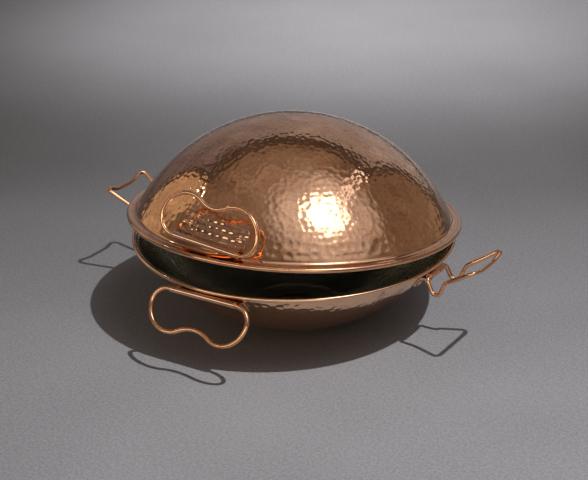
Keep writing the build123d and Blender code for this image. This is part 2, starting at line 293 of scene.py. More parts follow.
class Hammering:
    """Rows of hammer blows round the pan's axis. s is the length along the section."""

    def __init__(self, seed, rows, radius_at, hollow):
        rng = np.random.default_rng(seed)
        self.at = np.array([s for s, pitch in rows])
        self.pitch = np.array([pitch for s, pitch in rows])
        round_length = 2 * np.pi * np.maximum(radius_at(self.at), 0.5)
        self.count = np.maximum(1, np.round(round_length / self.pitch)).astype(int)
        shape = (len(rows), self.count.max() + 2)
        self.start = rng.uniform(0, 1, len(rows))
        self.curve = 1 / hollow + 1 / DOME_R
        # height of the ridges between usual blows, which stay on the smooth face
        self.set_back = (DENT_PITCH / 2) ** 2 / 2 * self.curve - DENT_SINK - SINK_SPREAD / 2
        self.shift_s = rng.uniform(-0.24, 0.24, shape)
        self.shift_t = rng.uniform(-0.3, 0.3, shape)
        self.hollow = rng.uniform(0.6, 1.5, shape)
        self.sink = rng.uniform(0.0, SINK_SPREAD, shape)
        self.sink += np.where(self.pitch > DENT_PITCH, EDGE_SINK, DENT_SINK)[:, None]
        self.lean_s = rng.uniform(-1, 1, shape)
        self.lean_t = rng.uniform(-1, 1, shape)
        self.tone = rng.uniform(0, 1, shape)

    def blows(self, s, phi, radius):
        """Each point's height and tone under every blow that could shape it."""
        near = np.clip(np.searchsorted(self.at, s), 1, len(self.at) - 1)
        for offset in (-2, -1, 0, 1):
            row = np.clip(near + offset, 0, len(self.at) - 1)
            count = self.count[row]
            t = (phi / (2 * np.pi)) % 1.0 * count - self.start[row]
            pitch = self.pitch[row]
            for step in (-1, 0, 1):
                k = np.floor(t).astype(int) + step
                blow = k % count
                along = s - self.at[row] - self.shift_s[row, blow] * pitch
                across = (t - k - 0.5 - self.shift_t[row, blow]) * 2 * np.pi * radius / count
                square = along ** 2 + across ** 2
                curve = self.curve * self.hollow[row, blow]
                lean = DENT_LEAN * (self.lean_s[row, blow] * along + self.lean_t[row, blow] * across)
                height = curve / 2 * square + lean - self.sink[row, blow]
                yield height, self.tone[row, blow]

    def shape(self, s, phi, radius):
        """Depth of the hammered face under the smooth one, each facet's tone, and its ridges."""
        first = np.full(len(s), 1e3)
        second = np.full(len(s), 1e3)
        tone = np.zeros(len(s))
        for height, blow_tone in self.blows(s, phi, radius):
            lower = height < first
            second = np.where(lower, first, np.minimum(second, height))
            tone = np.where(lower, blow_tone, tone)
            first = np.where(lower, height, first)
        gap = second - first
        blended = first - RIDGE_SOFT * np.exp(-gap / RIDGE_SOFT) * 0.7
        ridge = np.exp(-gap / RIDGE_POLISH)
        return np.clip(blended - self.set_back, -DEEPEST, 0), tone, ridge


# ---------------------------------------------------------------- turned shells

def arc(centre, radius, start, end, spacing):
    """Points and outward normals along an arc of a section, as (r, z)."""
    steps = max(2, int(round(abs(end - start) * radius / spacing)) + 1)
    angle = np.linspace(start, end, steps)
    normal = np.stack([np.cos(angle), np.sin(angle)], -1)
    return np.array(centre) + radius * normal, normal


def run(start, end, normal, places):
    """Points on a straight part of a section, at the given shares of its length."""
    t = np.array(places)[:, None]
    points = np.array(start) * (1 - t) + np.array(end) * t
    return points, np.tile(normal, (len(places), 1)).astype(float)


def columns_at(radius):
    """Fewer mesh columns near the axis, halved each time the radius halves."""
    halvings = 0
    while halvings < 5 and radius < 150 / 2 ** (halvings + 1):
        halvings += 1
    return COLUMNS // 2 ** halvings


def turn(sections):
    """Turn a section about the axis. Each part of it is (points, normals, work, metal)."""
    rz = np.concatenate([points for points, normals, work, slot in sections])
    normal = np.concatenate([normals for points, normals, work, slot in sections])
    work = np.concatenate([np.broadcast_to(w, len(p)) for p, n, w, slot in sections])
    slots = np.concatenate([np.full(len(p), slot) for p, n, w, slot in sections])
    counts = np.array([columns_at(r) for r, z in rz])
    starts = np.concatenate([[0], np.cumsum(counts)])
    row = np.repeat(np.arange(len(rz)), counts)
    phi = 2 * np.pi * (np.arange(starts[-1]) - starts[row]) / counts[row]
    faces, face_slots = [], []
    for i in range(len(rz) - 1):
        new = ring_faces(starts[i], counts[i], starts[i + 1], counts[i + 1])
        faces += new
        face_slots += [int(slots[i + 1])] * len(new)
    for i, flip in ((0, False), (len(rz) - 1, True)):
        ring = list(range(starts[i], starts[i] + counts[i]))
        faces.append(ring if flip else ring[::-1])
        face_slots.append(int(slots[i]))
    return rz[row], normal[row], work[row], phi, faces, face_slots


def ring_faces(a, count_a, b, count_b):
    """Faces between two rings of points, whose counts are equal or one twice the other."""
    if count_a == count_b:
        k = np.arange(count_a)
        n = (k + 1) % count_a
        return np.stack([a + k, a + n, b + n, b + k], -1).tolist()
    fine, coarse = (a, b) if count_a > count_b else (b, a)
    half = min(count_a, count_b)
    k = np.arange(half)
    n = (k + 1) % half
    middle = fine + 2 * k + 1
    after = fine + (2 * k + 2) % (2 * half)
    triangles = [
        np.stack([fine + 2 * k, middle, coarse + k], -1),
        np.stack([middle, coarse + n, coarse + k], -1),
        np.stack([middle, after, coarse + n], -1),
    ]
    triangles = np.concatenate(triangles)
    return triangles.tolist() if count_a > count_b else triangles[:, ::-1].tolist()


def placed(rz, normal, phi, lift):
    """Points of a section at their angles about the axis, lifted along its normal."""
    r = rz[:, 0] + normal[:, 0] * lift
    z = rz[:, 1] + normal[:, 1] * lift
    return np.stack([r * np.sin(phi), -r * np.cos(phi), z], -1)


def hammer_rows(first, last):
    """Places of the rows of blows from the middle out, with wider ones beside the rim."""
    wide = [(last - EDGE_PITCH * (i + 0.35), EDGE_PITCH) for i in range(EDGE_ROWS)]
    inner_end = wide[-1][0] - (EDGE_PITCH + DENT_PITCH) / 2
    count = int((inner_end - first) / (DENT_PITCH * ROW_SHARE))
    rows = [(first + (inner_end - first) * i / count, DENT_PITCH) for i in range(count + 1)]
    return rows + wide[::-1]


def fade(s, start, end):
    """1 inside a stretch of the section, falling to 0 over 3 mm at each end of it."""
    return np.clip(np.minimum(s - start, end - s) / 3.0, 0, 1)


def lid_sections():
    """The lid from the crown out, over the flange, round the rolled rim and back inside."""
    mid_r = DOME_R - SHEET / 2
    flange = LID_Z + FLANGE_RISE
    lift = flange + FLARE_R - DOME_CENTRE
    flare_c = math.sqrt((mid_r + FLARE_R) ** 2 - lift ** 2)
    foot = math.atan2(lift, flare_c)
    flare_centre = (flare_c, flange + FLARE_R)
    axis = (0, DOME_CENTRE)
    bead = (LID_BEAD_C, LID_Z)
    top = math.asin((FLANGE_RISE + SHEET / 2) / LID_BEAD_R)
    under = math.asin((FLANGE_RISE - SHEET / 2) / LID_BEAD_R)
    start = 1.5 / DOME_R
    out_points, out_normals = arc(axis, DOME_R, math.pi / 2 - start, foot, CELL)
    wall_side, flange_side = math.pi + foot, 3 * math.pi / 2
    flare_points, flare_normals = arc(flare_centre, FLARE_R - SHEET / 2, wall_side, flange_side, 0.8)
    groove = (LID_BEAD_C - LID_BEAD_R * math.cos(top), flange + SHEET / 2)
    groove_under = (LID_BEAD_C - LID_BEAD_R * math.cos(under), flange - SHEET / 2)
    in_flare, in_flare_normals = arc(flare_centre, FLARE_R + SHEET / 2, flange_side, wall_side, 1.4)
    in_points, in_normals = arc(axis, DOME_R - SHEET, foot, math.pi / 2 - start, 2.4 * CELL)
    length = (math.pi / 2 - start - foot) * DOME_R
    return [
        (out_points, out_normals, OUTSIDE, COPPER),
        (flare_points[1:], -flare_normals[1:], PLAIN, COPPER),
        (*run(flare_points[-1], groove, (0, 1), (0.35, 0.7, 0.95, 1.0)), PLAIN, COPPER),
        (*arc(bead, LID_BEAD_R, math.pi - top - 0.06, under - math.pi, 0.75), ROLLED, COPPER),
        (*run(groove_under, in_flare[0], (0, -1), (0.0, 0.05, 0.5)), PLAIN, TIN),
        (in_flare, in_flare_normals, PLAIN, TIN),
        (in_points[1:], -in_normals[1:], INSIDE, TIN),
    ], length


def bowl_sections():
    """The bowl from the middle of its underside up, round the rolled rim and back inside."""
    axis = (0, BOWL_CENTRE)
    bead = (BOWL_BEAD_C, RIM_Z)
    low = -math.acos(BASE_R / BOWL_R)
    high = -math.acos(WALL_TOP[0] / BOWL_R)
    in_r = BOWL_R - SHEET
    in_low = math.asin((SHEET - BOWL_CENTRE) / in_r)
    in_high = math.asin((RIM_Z + LEDGE_TOP - BOWL_CENTRE) / in_r)
    lip = math.asin(LEDGE_TOP / BOWL_BEAD_R)
    lip_r = BOWL_BEAD_C - BOWL_BEAD_R * math.cos(lip)
    ledge_in = (in_r * math.cos(in_high), RIM_Z + LEDGE_TOP)
    flat = np.linspace(1.5, BASE_R - 0.6, 24)
    out_points, out_normals = arc(axis, BOWL_R, low + 0.004, high - 0.004, CELL)
    in_points, in_normals = arc(axis, in_r, in_high - 0.003, in_low, 2.2 * CELL)
    length = math.asin(WALL_TOP[0] / BOWL_R) * BOWL_R
    base_share = (flat - flat[0]) / (flat[-1] - flat[0])
    return [
        (*run((flat[0], 0), (flat[-1], 0), (0, -1), base_share), BASE, COPPER),
        (out_points, out_normals, OUTSIDE, COPPER),
        (*run(WALL_TOP, (lip_r, WALL_TOP[1]), (0, -1), (0.0, 0.9)), PLAIN, COPPER),
        (*arc(bead, BOWL_BEAD_R, lip - math.pi + 0.06, math.pi - lip - 0.06, 0.7), ROLLED, COPPER),
        (*run((lip_r, ledge_in[1]), ledge_in, (0, 1), (0.1, 0.8)), PLAIN, COPPER),
        (in_points, -in_normals, INSIDE, TIN),
        (*run((in_r * math.cos(in_low), SHEET), (1.5, SHEET), (0, 1), (0.1, 0.5, 1.0)), PLAIN, TIN),
    ], length


def make_shell(name, node, body, sections, length, seed, copper, matrix):
    """Hammered shell: copper outside, tinned inside. length runs from the axis to the rim."""
    centre, radius = DOME_WALL if body == "lid" else BOWL_WALL
    rz, normal, work, phi, faces, face_slots = turn(sections)
    along = np.arctan2(rz[:, 0], np.abs(rz[:, 1] - centre)) * radius
    rows = hammer_rows(1.5, length)
    hammering = Hammering(seed, rows, lambda at: radius * np.sin(at / radius), DENT_HOLLOW[body])
    depth, tone, ridge = hammering.shape(along, phi, np.maximum(rz[:, 0], 0.2))
    share = np.where(np.isin(work, (OUTSIDE, BASE)), 1.0, np.where(work == INSIDE, -BULGE, 0.0))
    share = share * fade(along, -10, length)
    # the rolled rim and the plain parts that face up waver by hand, inside the drawn shape
    rolled = 0.06 * wobble(phi, seed + 7, 9, 60) + 0.03 * wobble(phi, seed + 8, 60, 160) - 0.1
    dent = np.where(work == ROLLED, rolled, depth * share)
    settled = 0.072 * wobble(phi, seed + 9, 3, 12) - 0.078
    dent = np.where((work == PLAIN) & (normal[:, 1] > 0.5), settled, dent)
    points = moved(placed(rz, normal, phi, dent), matrix)
    nodes = [node, node.replace("shell", "rim_wire")]
    piece = add_piece(name, points, faces, body, nodes, [copper, old_tin], face_slots)
    hammered = np.minimum(np.abs(share), 1)
    add_values(piece, "facet", tone * hammered + 0.5 * (1 - hammered))
    add_values(piece, "ridge", ridge * hammered)


# ---------------------------------------------------------------- riveted fittings

def wall_depth(wall, x, z, lift):
    """How far in front of the axis a wall's face is at x and z, with lift off the wall."""
    centre, radius = wall
    return np.sqrt((radius + lift) ** 2 - x ** 2 - (z - centre) ** 2)


def bent(start, corner, end, radius, steps):
    """Points of a rounded corner between two straight runs."""
    a, b, c = (np.array(p, float) for p in (start, corner, end))
    t = np.linspace(0, 1, steps)[:, None]
    near = b + (a - b) / np.linalg.norm(a - b) * radius
    far = b + (c - b) / np.linalg.norm(c - b) * radius
    return near * (1 - t) ** 2 + 2 * b * t * (1 - t) + far * t ** 2


def fitting_line(wall, x, far_z, foot_z, web_z, axis):
    """Middle of a fitting's sheet at one x, as (outward, z): along the wall, bent out to the
    barrel and rolled round it."""
    axis_r, axis_z = axis
    side = 1 if far_z > axis_z else -1
    z = np.linspace(far_z, foot_z, WALL_POINTS)
    on_wall = np.stack([wall_depth(wall, x, z, LAY_GAP + SHEET / 2), z], -1)
    middle_r = BARREL_R - SHEET / 2
    web_end = (axis_r - 0.6, web_z)
    corner = bent(on_wall[-4], on_wall[-1], web_end, 1.3, BEND_POINTS)
    angle = np.radians(np.linspace(0, BARREL_ROLL, ROLL_POINTS))
    rolled = np.stack([axis_r + middle_r * np.sin(angle), axis_z + side * middle_r * np.cos(angle)], -1)
    share = np.linspace(0, 1, WEB_POINTS + 2)[1:-1, None]
    web = corner[-1] + (rolled[0] - corner[-1]) * share
    return np.concatenate([on_wall[:-3], corner, web, rolled])


def fitting_sheet(lines, xs, far_share, seed, dents):
    """Solid sheet through section lines at each x, with rounded far corners and dents."""
    lines = np.array(lines)
    middle = np.empty((lines.shape[1], len(xs), 3))
    middle[..., 0] = np.array(xs) * far_share[:, None]
    middle[..., 1] = -lines[..., 0].T
    middle[..., 2] = lines[..., 1].T
    normal = np.cross((1.0, 0, 0), np.gradient(middle, axis=0))
    normal /= np.linalg.norm(normal, axis=-1, keepdims=True)
    out = np.sign(-normal[3, :, 1]).mean()
    normal *= out
    steps = np.linalg.norm(np.diff(middle[:, middle.shape[1] // 2], axis=0), axis=1)
    length = np.concatenate([[0], np.cumsum(steps)])
    along = np.broadcast_to(length[:, None], middle.shape[:2])
    lift = plate_dents(middle[..., 0], along, seed, dents)
    points, faces = sheet_solid(middle, normal, lift)
    return points, faces if out > 0 else [face[::-1] for face in faces]


def plate_dents(x, s, seed, dents):
    """Oval hammer dents in staggered rows over a plate, none on the rolled part."""
    pitch, depth = dents
    rng = np.random.default_rng(seed)
    lift = np.zeros_like(x)
    for row in range(int(DENTED / pitch) + 1):
        for k in range(-8, 9):
            at_x = (k + 0.5 * (row % 2)) * pitch * 1.1 + rng.uniform(-0.8, 0.8)
            at_s = FIRST_DENTS + row * pitch * 0.86 + rng.uniform(-0.7, 0.7)
            wide, high = rng.uniform(2.5, 3.3), rng.uniform(1.6, 2.2)
            square = ((x - at_x) / wide) ** 2 + ((s - at_s) / high) ** 2
            lift -= depth * rng.uniform(0.5, 1.0) * np.exp(-square ** 1.4)
    return lift


def rounded_share(lines, xs):
    """Share of the plate's half width that is left at each point of its section."""
    steps = np.linalg.norm(np.diff(lines[len(xs) // 2], axis=0), axis=1)
    length = np.concatenate([[0], np.cumsum(steps)])
    inside = np.clip(CORNER_R - length, 0, CORNER_R)
    cut = CORNER_R - np.sqrt(CORNER_R ** 2 - inside ** 2)
    return 1 - cut / max(abs(x) for x in xs)


def section_rows(start, stop, step):
    return np.linspace(start, stop, max(3, int(abs(stop - start) / step)))


def make_plate(name, node, body, wall, axis, half, far_z, seed, matrix):
    """Plate riveted to a wall and rolled into a barrel round its wire."""
    side = 1 if far_z > axis[1] else -1
    web_z = axis[1] + side * (BARREL_R - SHEET / 2)
    xs = section_rows(-half, half, 0.45)
    lines = [fitting_line(wall, x, far_z, web_z, web_z, axis) for x in xs]
    points, faces = fitting_sheet(lines, xs, rounded_share(lines, xs), seed, PLATE_DENTS)
    add_fitting(name, node, body, points, faces, matrix)


def make_leaf(name, node, body, wall, axis, far_z, knuckles, seed, matrix):
    """Hinge leaf: a plate on the wall, a slanted web, and knuckles rolled round the pin."""
    side = 1 if far_z > axis[1] else -1
    foot_z = axis[1] + side * HINGE_FOOT
    web_z = axis[1] + side * (BARREL_R - SHEET / 2)
    xs = section_rows(-HINGE_HALF, HINGE_HALF, 0.6)
    whole = [fitting_line(wall, x, far_z, foot_z, web_z, axis) for x in xs]
    beyond_plate = ROLL_POINTS + WEB_POINTS // 2
    plates = [line[:-beyond_plate] for line in whole]
    parts = [fitting_sheet(plates, xs, rounded_share(plates, xs), seed, LEAF_DENTS)]
    knuckle_points = ROLL_POINTS + WEB_POINTS + 1
    for low, high in knuckles:
        part_xs = section_rows(low, high, 1.0)
        lines = [fitting_line(wall, x, far_z, foot_z, web_z, axis)[-knuckle_points:] for x in part_xs]
        parts.append(fitting_sheet(lines, part_xs, np.ones(knuckle_points), seed, NO_DENTS))
    points, faces = joined(parts)
    add_fitting(name, node, body, points, faces, matrix)


def add_fitting(name, node, body, points, faces, matrix):
    points = moved(points, matrix)
    piece = add_piece(name, points, faces, body, [node], [sheet_copper])
    soften(piece, EDGE_WEAR)


def soften(piece, width):
    """Round the cut edges of a piece."""
    bevel = piece.modifiers.new("worn_edges", "BEVEL")
    bevel.width = width * MM
    bevel.segments = 2
    bevel.limit_method = "ANGLE"
    bevel.angle_limit = math.radians(50)


def wall_matrix(wall, x, z):
    """Frame on the front of a wall, with Z along its outward normal."""
    centre, radius = wall
    y = -math.sqrt(radius ** 2 - x ** 2 - (z - centre) ** 2)
    normal = Vector((x, y, z - centre)).normalized()
    side = Vector((1, 0, 0))
    side = (side - normal * side.dot(normal)).normalized()
    turn_in = Matrix((side, normal.cross(side), normal)).transposed().to_4x4()
    return Matrix.Translation((x, y, z)) @ turn_in


def rivet(seed):
    """Round head with a ring round its crown, and a flattened tail inside the shell."""
    base = LAY_GAP * 2 + SHEET
    head = [(3.5, 0.0), (3.5, 0.25), (3.25, 0.5), (2.9, 0.62), (2.6, 0.6), (2.4, 0.62), (2.2, 0.9),
            (1.8, 1.2), (1.2, 1.4), (0.6, 1.48)]
    tail = [(0.6, -1.8), (1.5, -1.82), (2.4, -1.75), (2.75, -1.6), (2.85, -1.4), (2.8, -1.06)]
    parts = []
    for number, profile in enumerate((head, tail[::-1])):
        rows, sides = len(profile), 32
        phi = np.linspace(0, 2 * np.pi, sides, endpoint=False)
        worn = 0.98 - 0.02 * wobble(phi, seed + number, 2, 7)
        points = [
            (r * k * math.cos(p), r * k * math.sin(p), z + base if number == 0 else z)
            for r, z in profile
            for p, k in zip(phi, worn)
        ]
        index = np.arange(rows * sides).reshape(rows, sides)
        after = np.roll(index, -1, axis=1)
        quads = np.stack([index[:-1], after[:-1], after[1:], index[1:]], -1).reshape(-1, 4)
        flip = slice(None) if number == 0 else slice(None, None, -1)
        faces = [q[flip] for q in quads.tolist()]
        faces += [index[-1].tolist()[flip], index[0][::-1].tolist()[flip]]
        parts.append((np.array(points), faces))
    return joined(parts)


def make_rivets(name, node, body, wall, places, seed, matrix):
    parts = []
    for number, (x, z) in enumerate(places):
        points, faces = rivet(seed + 10 * number)
        parts.append((moved(points, matrix @ wall_matrix(wall, x, z)), faces))
    points, faces = joined(parts)
    add_piece(name, points, faces, body, [node], [rivet_copper])


# ---------------------------------------------------------------- bent wire

def flat_arc(centre, radius, start, end):
    steps = max(3, int(abs(end - start) * radius / 1.1))
    angle = np.linspace(start, end, steps)
    return np.stack([centre[0] + radius * np.cos(angle), centre[1] + radius * np.sin(angle)], -1)


def handle_path(reach, waist):
    """Bean-shaped loop. X runs along the barrel and +Y is out to the two lobes."""
    side_x = HANDLE_STRAIGHT + HANDLE_SIDE_R
    lobe_r = reach - HANDLE_SIDE_R
    lobe_x = side_x - lobe_r
    rise = waist - HANDLE_SIDE_R
    dent_r = (lobe_x ** 2 + rise ** 2 - lobe_r ** 2) / (2 * (lobe_r - rise))
    lean = math.asin(lobe_x / (lobe_r + dent_r))
    quarter = math.pi / 2
    straight = np.stack([np.linspace(WIRE_END, HANDLE_STRAIGHT, 30), np.zeros(30)], -1)
    half = np.concatenate([
        straight,
        flat_arc((HANDLE_STRAIGHT, HANDLE_SIDE_R), HANDLE_SIDE_R, -quarter, 0)[1:],
        flat_arc((lobe_x, HANDLE_SIDE_R), lobe_r, 0, quarter + lean)[1:],
        flat_arc((0, waist + dent_r), dent_r, lean - quarter, -quarter)[1:],
    ])
    other = half[-2::-1] * (-1, 1)
    flat = np.concatenate([half, other])
    return np.concatenate([flat, np.zeros((len(flat), 1))], axis=1)


def filleted(corners, radii):
    """A path through corners, each rounded to its radius."""
    path = [np.array(corners[0], float)]
    for before, corner, after, radius in zip(corners, corners[1:], corners[2:], radii):
        a, b, c = (np.array(p, float) for p in (before, corner, after))
        back = (a - b) / np.linalg.norm(a - b)
        ahead = (c - b) / np.linalg.norm(c - b)
        half = math.acos(max(-1.0, min(1.0, back @ ahead))) / 2
        centre = b + (back + ahead) / np.linalg.norm(back + ahead) * radius / math.sin(half)
        start = b + back * radius / math.tan(half) - centre
        end = b + ahead * radius / math.tan(half) - centre
        sweep = math.pi - 2 * half
        for t in np.linspace(0, 1, max(4, int(sweep * radius / 1.0))):
            point = (math.sin((1 - t) * sweep) * start + math.sin(t * sweep) * end) / math.sin(sweep)
            path.append(centre + point)
    path.append(np.array(corners[-1], float))
    return np.array(path)


def evenly(path, spacing):
    length = np.concatenate([[0], np.cumsum(np.linalg.norm(np.diff(path, axis=0), axis=1))])
    at = np.linspace(0, length[-1], int(length[-1] / spacing) + 1)
    return np.stack([np.interp(at, length, path[:, i]) for i in range(3)], -1)


def latch_path():
    """Latch at rest. X runs along the barrel, -Y is outward and Z is up."""
    corners = [(WIRE_END, 0, 0)]
    corners += [(along, -outward, up) for along, outward, up, bend in LATCH_BENDS]
    corners += [(0, corners[-1][1], corners[-1][2])]
    half = filleted(corners, [bend for along, outward, up, bend in LATCH_BENDS])
    return evenly(np.concatenate([half, half[-2::-1] * (-1, 1, 1)]), WIRE_STEP)


def make_wire(name, node, body, path, held, seed, matrix):
    """Drawn wire bent by hand. Its line wavers outside the barrel that holds its middle."""
    path = evenly(path, WIRE_STEP)
    t = np.linspace(0, 2 * np.pi, len(path))
    away = np.linalg.norm(path - path[0], axis=1)
    free = np.clip((away - held - 0.5) / SWAY_START, 0, 1)
    radius = WIRE_R - 0.03 + 0.03 * wobble(t, seed, 6, 40)
    sway = np.stack([wobble(t, seed + i, 2, 9) for i in (1, 2, 3)], -1)
    path = path + sway * WIRE_SWAY * free[:, None]
    points, faces = tube(path, radius)
    add_piece(name, moved(points, matrix), faces, body, [node], [wire_copper])


def pin_parts(x_end):
    """Hinge pin with peened ends."""
    profile = [(x_end + 1.0, 1.2), (x_end + 0.85, 2.1), (x_end + 0.4, 2.45), (x_end + 0.05, 2.35)]
    line = profile + [(x_end, WIRE_R), (x_end / 2, WIRE_R), (0.0, WIRE_R)]
    line += [(-x, r) for x, r in line[-2::-1]]
    xs = np.array([(x, 0, 0) for x, r in line])
    return tube(xs, np.array([r for x, r in line]), 24)


# ---------------------------------------------------------------- materials

class Tree:
    """Short way to add and join the nodes of one material or of the world."""

    def __init__(self, owner):
        owner.use_nodes = True
        self.tree = owner.node_tree
        self.shader = self.tree.nodes.get("Principled BSDF") or self.tree.nodes.get("Background")

    def add(self, kind, settings=None, **inputs):
        node = self.tree.nodes.new("ShaderNode" + kind)
        for key, value in (settings or {}).items():
            setattr(node, key, value)
        for key, value in inputs.items():
            self.feed(node.inputs[int(key[1:]) if key[1:].isdigit() else key], value)
        return node

    def feed(self, socket, value):
        if isinstance(value, bpy.types.NodeSocket):
            self.tree.links.new(value, socket)
        else:
            socket.default_value = value

    def math(self, operation, a, b=0.0, c=0.0, clamp=False):
        settings = {"operation": operation, "use_clamp": clamp}
        return self.add("Math", settings, i0=a, i1=b, i2=c).outputs[0]

    def noise(self, place, scale, detail=3.0, roughness=0.55, distortion=0.0):
        node = self.add("TexNoise", Vector=place, Scale=scale, Detail=detail)
        node.inputs["Roughness"].default_value = roughness
        node.inputs["Distortion"].default_value = distortion
        return node.outputs[0]

    def spread(self, value, low, high, to_low=0.0, to_high=1.0):
        """Stretch a range of values to another, and stop at its ends."""
        limits = {"From Min": low, "From Max": high, "To Min": to_low, "To Max": to_high}
        return self.add("MapRange", None, Value=value, **limits).outputs[0]

    def dot(self, a, b):
        return self.add("VectorMath", {"operation": "DOT_PRODUCT"}, i0=a, i1=b).outputs["Value"]

    def mix(self, share, a, b, blend="MIX"):
        node = self.add("Mix", {"data_type": "RGBA", "blend_type": blend})
        self.feed(node.inputs[0], share)
        self.feed(node.inputs[6], a if isinstance(a, bpy.types.NodeSocket) else (*a, 1))
        self.feed(node.inputs[7], b if isinstance(b, bpy.types.NodeSocket) else (*b, 1))
        return node.outputs[2]

    def set(self, **inputs):
        for key, value in inputs.items():
            self.feed(self.shader.inputs[key.replace("_", " ")], value)


def metal(name, colours, finish, hammered=False):
    """Old polished metal: dull patches of oxide, dark stains and a fine grain.

    colours are the bright, the dull and the stained one. finish is the least and the greatest
    roughness, and the depth of the grain.
    """
    bright, dull, deep = colours
    smooth, rough, grain = finish
    material = bpy.data.materials.new(name)
    t = Tree(material)
    place = t.add("TexCoord").outputs["Object"]
    patch = t.noise(place, 16.0, 5.0, 0.62, 0.8)
    mottle = t.noise(place, 85.0, 4.0, 0.6)
    speck = t.noise(place, 520.0, 2.0, 0.6)
    lines = t.noise(place, 700.0, 2.0, 0.5)
    tarnish = t.spread(t.math("ADD", patch, t.math("MULTIPLY", mottle, 0.5)), 0.62, 0.95)
    colour = t.mix(tarnish, bright, dull)
    stain = t.spread(t.math("MULTIPLY", mottle, speck), 0.30, 0.44, 0.0, 0.6)
    if hammered:
        facet = t.add("Attribute", {"attribute_name": "facet"}).outputs["Fac"]
        ridge = t.add("Attribute", {"attribute_name": "ridge"}).outputs["Fac"]
        colour = t.mix(t.spread(facet, 0.0, 1.0, 0.0, 0.7), colour, dull)
        colour = t.mix(t.math("MULTIPLY", ridge, 0.35), colour, bright)
        stain = t.math("MULTIPLY", stain, t.math("SUBTRACT", 1.0, t.math("MULTIPLY", ridge, 0.7)))
    colour = t.mix(stain, colour, deep)
    worn = t.math("ADD", t.math("MULTIPLY", tarnish, 0.5), t.math("MULTIPLY", lines, 0.5))
    t.set(Base_Color=colour, Metallic=1.0, Roughness=t.spread(worn, 0.2, 0.75, smooth, rough))
    relief = t.math("ADD", t.math("MULTIPLY", speck, 0.6), t.math("MULTIPLY", lines, 0.4))
    bump = t.add("Bump", None, Height=relief, Strength=grain, Distance=0.0004)
    t.set(Normal=bump.outputs[0])
    return material


def grey_table():
    material = bpy.data.materials.new("grey_table")
    t = Tree(material)
    place = t.add("TexCoord").outputs["Object"]
    fine = t.noise(place, 420.0, 3.0, 0.7)
    broad = t.noise(place, 3.0, 2.0)
    mottle = t.math("ADD", t.math("MULTIPLY", fine, 0.7), t.math("MULTIPLY", broad, 0.3))
    tone = t.spread(mottle, 0.4, 0.6)
    t.set(Base_Color=t.mix(tone, (0.096, 0.0948, 0.1015), (0.139, 0.137, 0.146)), Roughness=0.85)
    t.set(Normal=t.add("Bump", None, Height=fine, Strength=0.25, Distance=0.0005).outputs[0])
    return material


# Bright, dull and stained colours
STAINED = (0.34, 0.15, 0.075)
LID_COLOURS = ((0.94, 0.57, 0.35), (0.80, 0.44, 0.26), STAINED)
# painted light: the bowl's copper is painted lighter than the lid's, with its dull patches nearly as
# light as the rest, a painted sheen for the bright reflection in the band under its rim
BOWL_PAINTED_LIGHT_COLOURS = ((1.0, 0.64, 0.42), (0.97, 0.59, 0.37), STAINED)
TIN_COLOURS = ((0.80, 0.80, 0.72), (0.44, 0.45, 0.39), (0.34, 0.34, 0.28))
SHEET_COLOURS = ((0.84, 0.55, 0.38), (0.66, 0.40, 0.26), (0.28, 0.13, 0.08))
WIRE_COLOURS = ((0.97, 0.57, 0.34), (0.84, 0.45, 0.25), (0.38, 0.17, 0.08))
RIVET_COLOURS = ((0.86, 0.52, 0.34), (0.62, 0.33, 0.19), (0.22, 0.09, 0.05))

hammered_copper = metal("hammered_copper", LID_COLOURS, (0.045, 0.12, 0.04), hammered=True)
# painted light: a lighter copy of the lid's copper, used for the bowl
bowl_copper_painted_light = metal("bowl_copper_painted_light", BOWL_PAINTED_LIGHT_COLOURS, (0.045, 0.12, 0.04), hammered=True)
old_tin = metal("old_tin", TIN_COLOURS, (0.1, 0.2, 0.05), hammered=True)
sheet_copper = metal("sheet_copper", SHEET_COLOURS, (0.06, 0.15, 0.06))
wire_copper = metal("wire_copper", WIRE_COLOURS, (0.08, 0.22, 0.08))
rivet_copper = metal("rivet_copper", RIVET_COLOURS, (0.07, 0.2, 0.06))


# ---------------------------------------------------------------- the pan

def make_pan():
    shut_to_rest = opened()
    level = Matrix.Identity(4)
    make_shells(shut_to_rest, level)
    low = joint_point("lower_handle_swing")
    low_axis = (-low.y, low.z)
    askew = shut_to_rest @ skewed()
    make_handle(("bowl", "lower"), "bowl", BOWL_WALL, low_axis, LOWER_PLATE_Z, LOWER_HANDLE, 31, level)
    make_handle(("dome", "lid"), "lid", DOME_WALL, LID_AXIS, LID_PLATE_Z, LID_HANDLE, 32, askew)
    make_latch("right", 60, turned(90))
    make_latch("left", 70, turned(-90))
    make_hinge(shut_to_rest)


def make_shells(shut_to_rest, level):
    lid_line, lid_length = lid_sections()
    bowl_line, bowl_length = bowl_sections()
    lid, bowl = "lid_shell_hammered", "bowl_shell_hammered"
    make_shell(lid, "lid_shell", "lid", lid_line, lid_length, 11, hammered_copper, shut_to_rest)
    make_shell(bowl, "lower_shell", "bowl", bowl_line, bowl_length, 23, bowl_copper_painted_light, level)


def make_handle(names, body, wall, axis, heights, loop, seed, matrix):
    """Plate, two rivets and wire loop. heights are the plate's far edge and the rivets."""
    piece, drawn = (name + "_handle" for name in names)
    far_z, rivet_z = heights
    spots = [(-HANDLE_RIVET_X, rivet_z), (HANDLE_RIVET_X, rivet_z)]
    lean = Matrix.Rotation(math.radians(loop["tilt"]), 4, "X")
    place = matrix @ Matrix.Translation((0, -axis[0], axis[1])) @ lean
    path = handle_path(loop["reach"], loop["waist"])
    make_plate(piece + "_plate", drawn + "_plate", body, wall, axis, HANDLE_HALF, far_z, seed, matrix)
    make_rivets(piece + "_rivets", drawn + "_rivets", body, wall, spots, seed + 10, matrix)
    make_wire(piece + "_wire", drawn + "_wire", drawn, path, HANDLE_HALF, seed + 20, place)


